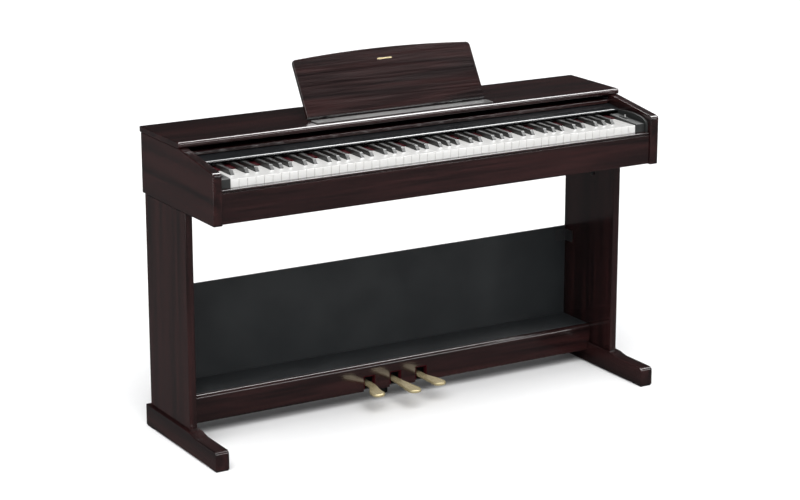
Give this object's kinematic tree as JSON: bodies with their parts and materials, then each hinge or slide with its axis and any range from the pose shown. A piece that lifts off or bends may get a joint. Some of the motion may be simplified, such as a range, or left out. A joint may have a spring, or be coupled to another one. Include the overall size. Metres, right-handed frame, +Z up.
{
  "type": "digital piano on stand",
  "caption": "Full-size digital piano in a dark wood cabinet with a sliding key cover, folding music rest, panel-leg stand and pedal box.",
  "frame": {"origin": "on the floor, at the middle of the footprint in X and Y", "axes": "+X towards the treble end (the player's right), +Y away from the player towards the back, +Z up"},
  "size_m": [1.3574, 0.422, 0.9712],
  "materials": {
    "cabinet_wood": "satin",
    "cabinet_wood_upright": "satin",
    "rubber": "matte",
    "dark_board": "satin",
    "dark_steel": "satin",
    "chassis_steel": "brushed",
    "pedal_brass": "polished",
    "red_felt": "felt",
    "block_plastic": "matte",
    "grey_trim": "satin",
    "panel_gloss": "gloss",
    "speaker": "matte",
    "circuit": "matte",
    "white_key": "gloss",
    "black_key": "matte"
  },
  "bodies": {
    "cabinet": {"left_foot": "cabinet_wood", "right_foot": "cabinet_wood", "left_leg": "cabinet_wood_upright", "right_leg": "cabinet_wood_upright", "left_front_pad": "rubber", "right_front_pad": "rubber", "left_back_pad": "rubber", "right_back_pad": "rubber", "stand_back_panel": "dark_board", "left_panel_bracket": "dark_steel", "right_panel_bracket": "dark_steel", "pedal_box_front": "cabinet_wood", "pedal_box_housing": "dark_board", "pedal_box_base": "dark_steel", "left_side_panel": "cabinet_wood", "right_side_panel": "cabinet_wood", "key_bed": "dark_board", "front_rail": "cabinet_wood", "back_board": "dark_board", "top_board": "cabinet_wood", "keyboard_chassis": "chassis_steel", "felt_strip": "red_felt", "left_key_block": "block_plastic", "right_key_block": "block_plastic", "control_panel": "panel_gloss", "left_cover_rail": "dark_steel", "right_cover_rail": "dark_steel", "left_speaker": "speaker", "right_speaker": "speaker", "circuit_board": "circuit", "headphone_jack_box": "block_plastic", "rear_jack_panel": "block_plastic", "rest_ledge": "grey_trim"},
    "cover_carriage": {"cover_shaft": "chassis_steel"},
    "key_cover": {"key_cover": "cabinet_wood"},
    "music_rest": {"music_rest": "cabinet_wood"},
    "left_rest_support": {"left_rest_support": "dark_steel"},
    "right_rest_support": {"right_rest_support": "dark_steel"},
    "power_switch": {"power_switch": "grey_trim"},
    "volume_slider": {"volume_slider": "grey_trim"},
    "sound_button_1": {"sound_button_1": "grey_trim"},
    "sound_button_2": {"sound_button_2": "grey_trim"},
    "soft_pedal": {"soft_pedal": "pedal_brass"},
    "sostenuto_pedal": {"sostenuto_pedal": "pedal_brass"},
    "sustain_pedal": {"sustain_pedal": "pedal_brass"},
    "pedal_box_leveller": {"pedal_box_leveller": "rubber"},
    "white_keys_1": {"white_keys_1": "white_key"},
    "black_keys_1": {"black_keys_1": "black_key"},
    "white_keys_2": {"white_keys_2": "white_key"},
    "black_keys_2": {"black_keys_2": "black_key"},
    "white_keys_3": {"white_keys_3": "white_key"},
    "black_keys_3": {"black_keys_3": "black_key"},
    "white_keys_4": {"white_keys_4": "white_key"},
    "black_keys_4": {"black_keys_4": "black_key"},
    "white_keys_5": {"white_keys_5": "white_key"},
    "black_keys_5": {"black_keys_5": "black_key"},
    "white_keys_6": {"white_keys_6": "white_key"},
    "black_keys_6": {"black_keys_6": "black_key"},
    "white_keys_7": {"white_keys_7": "white_key"},
    "black_keys_7": {"black_keys_7": "black_key"}
  },
  "joints": [
    {"name": "cover_slide", "type": "slide", "parent": "cabinet", "child": "cover_carriage", "axis": [0, -1, 0], "range_m": [0, 0.183]},
    {"name": "cover_tilt", "type": "hinge", "parent": "cover_carriage", "child": "key_cover", "pos_m": [0, 0.182, 0.7835], "axis": [1, 0, 0], "range_deg": [0, 4.2]},
    {"name": "rest_fold", "type": "hinge", "parent": "cabinet", "child": "music_rest", "pos_m": [0, 0.045, 0.82], "axis": [-1, 0, 0], "range_deg": [0, 54]},
    {"name": "left_support_fold", "type": "hinge", "parent": "music_rest", "child": "left_rest_support", "pos_m": [-0.17, 0.0932, 0.88676], "axis": [1, 0, 0], "range_deg": [0, 100]},
    {"name": "right_support_fold", "type": "hinge", "parent": "music_rest", "child": "right_rest_support", "pos_m": [0.17, 0.0932, 0.88676], "axis": [1, 0, 0], "range_deg": [0, 100]},
    {"name": "power_switch_press", "type": "slide", "parent": "cabinet", "child": "power_switch", "axis": [0, 0, -1], "range_m": [0, 0.002], "stiffness_N_per_m": 400, "springref_m": -0.001},
    {"name": "sound_button_1_press", "type": "slide", "parent": "cabinet", "child": "sound_button_1", "axis": [0, 0, -1], "range_m": [0, 0.002], "stiffness_N_per_m": 400, "springref_m": -0.001},
    {"name": "sound_button_2_press", "type": "slide", "parent": "cabinet", "child": "sound_button_2", "axis": [0, 0, -1], "range_m": [0, 0.002], "stiffness_N_per_m": 400, "springref_m": -0.001},
    {"name": "volume_travel", "type": "slide", "parent": "cabinet", "child": "volume_slider", "axis": [0, 1, 0], "range_m": [-0.0155, 0.0155]},
    {"name": "soft_pedal_press", "type": "hinge", "parent": "cabinet", "child": "soft_pedal", "pos_m": [-0.082, 0.133, 0.05625], "axis": [1, 0, 0], "range_deg": [0, 5], "stiffness_Nm_per_rad": 25, "springref_deg": -2.86},
    {"name": "sostenuto_pedal_press", "type": "hinge", "parent": "cabinet", "child": "sostenuto_pedal", "pos_m": [0, 0.133, 0.05625], "axis": [1, 0, 0], "range_deg": [0, 5], "stiffness_Nm_per_rad": 25, "springref_deg": -2.86},
    {"name": "sustain_pedal_press", "type": "hinge", "parent": "cabinet", "child": "sustain_pedal", "pos_m": [0.082, 0.133, 0.05625], "axis": [1, 0, 0], "range_deg": [0, 5], "stiffness_Nm_per_rad": 25, "springref_deg": -2.86},
    {"name": "leveller_screw", "type": "slide", "parent": "cabinet", "child": "pedal_box_leveller", "axis": [0, 0, 1], "range_m": [0, 0.006]},
    {"name": "white_keys_1_press", "type": "hinge", "parent": "cabinet", "child": "white_keys_1", "pos_m": [0, 0.019, 0.7335], "axis": [1, 0, 0], "range_deg": [0, 2.9], "stiffness_Nm_per_rad": 12, "springref_deg": -6.88},
    {"name": "black_keys_1_press", "type": "hinge", "parent": "cabinet", "child": "black_keys_1", "pos_m": [0, 0.019, 0.744], "axis": [1, 0, 0], "range_deg": [0, 2.9], "stiffness_Nm_per_rad": 8, "springref_deg": -5.73},
    {"name": "white_keys_2_press", "type": "hinge", "parent": "cabinet", "child": "white_keys_2", "pos_m": [0, 0.019, 0.7335], "axis": [1, 0, 0], "range_deg": [0, 2.9], "stiffness_Nm_per_rad": 12, "springref_deg": -6.88},
    {"name": "black_keys_2_press", "type": "hinge", "parent": "cabinet", "child": "black_keys_2", "pos_m": [0, 0.019, 0.744], "axis": [1, 0, 0], "range_deg": [0, 2.9], "stiffness_Nm_per_rad": 8, "springref_deg": -5.73},
    {"name": "white_keys_3_press", "type": "hinge", "parent": "cabinet", "child": "white_keys_3", "pos_m": [0, 0.019, 0.7335], "axis": [1, 0, 0], "range_deg": [0, 2.9], "stiffness_Nm_per_rad": 12, "springref_deg": -6.88},
    {"name": "black_keys_3_press", "type": "hinge", "parent": "cabinet", "child": "black_keys_3", "pos_m": [0, 0.019, 0.744], "axis": [1, 0, 0], "range_deg": [0, 2.9], "stiffness_Nm_per_rad": 8, "springref_deg": -5.73},
    {"name": "white_keys_4_press", "type": "hinge", "parent": "cabinet", "child": "white_keys_4", "pos_m": [0, 0.019, 0.7335], "axis": [1, 0, 0], "range_deg": [0, 2.9], "stiffness_Nm_per_rad": 12, "springref_deg": -6.88},
    {"name": "black_keys_4_press", "type": "hinge", "parent": "cabinet", "child": "black_keys_4", "pos_m": [0, 0.019, 0.744], "axis": [1, 0, 0], "range_deg": [0, 2.9], "stiffness_Nm_per_rad": 8, "springref_deg": -5.73},
    {"name": "white_keys_5_press", "type": "hinge", "parent": "cabinet", "child": "white_keys_5", "pos_m": [0, 0.019, 0.7335], "axis": [1, 0, 0], "range_deg": [0, 2.9], "stiffness_Nm_per_rad": 12, "springref_deg": -6.88},
    {"name": "black_keys_5_press", "type": "hinge", "parent": "cabinet", "child": "black_keys_5", "pos_m": [0, 0.019, 0.744], "axis": [1, 0, 0], "range_deg": [0, 2.9], "stiffness_Nm_per_rad": 8, "springref_deg": -5.73},
    {"name": "white_keys_6_press", "type": "hinge", "parent": "cabinet", "child": "white_keys_6", "pos_m": [0, 0.019, 0.7335], "axis": [1, 0, 0], "range_deg": [0, 2.9], "stiffness_Nm_per_rad": 12, "springref_deg": -6.88},
    {"name": "black_keys_6_press", "type": "hinge", "parent": "cabinet", "child": "black_keys_6", "pos_m": [0, 0.019, 0.744], "axis": [1, 0, 0], "range_deg": [0, 2.9], "stiffness_Nm_per_rad": 8, "springref_deg": -5.73},
    {"name": "white_keys_7_press", "type": "hinge", "parent": "cabinet", "child": "white_keys_7", "pos_m": [0, 0.019, 0.7335], "axis": [1, 0, 0], "range_deg": [0, 2.9], "stiffness_Nm_per_rad": 12, "springref_deg": -6.88},
    {"name": "black_keys_7_press", "type": "hinge", "parent": "cabinet", "child": "black_keys_7", "pos_m": [0, 0.019, 0.744], "axis": [1, 0, 0], "range_deg": [0, 2.9], "stiffness_Nm_per_rad": 8, "springref_deg": -5.73}
  ],
  "couplings": [
    {"joint": "cover_tilt", "follows": "cover_slide", "rad_per_m": 0.395},
    {"joint": "left_support_fold", "follows": "rest_fold", "ratio": 1.84},
    {"joint": "right_support_fold", "follows": "rest_fold", "ratio": 1.84}
  ]
}
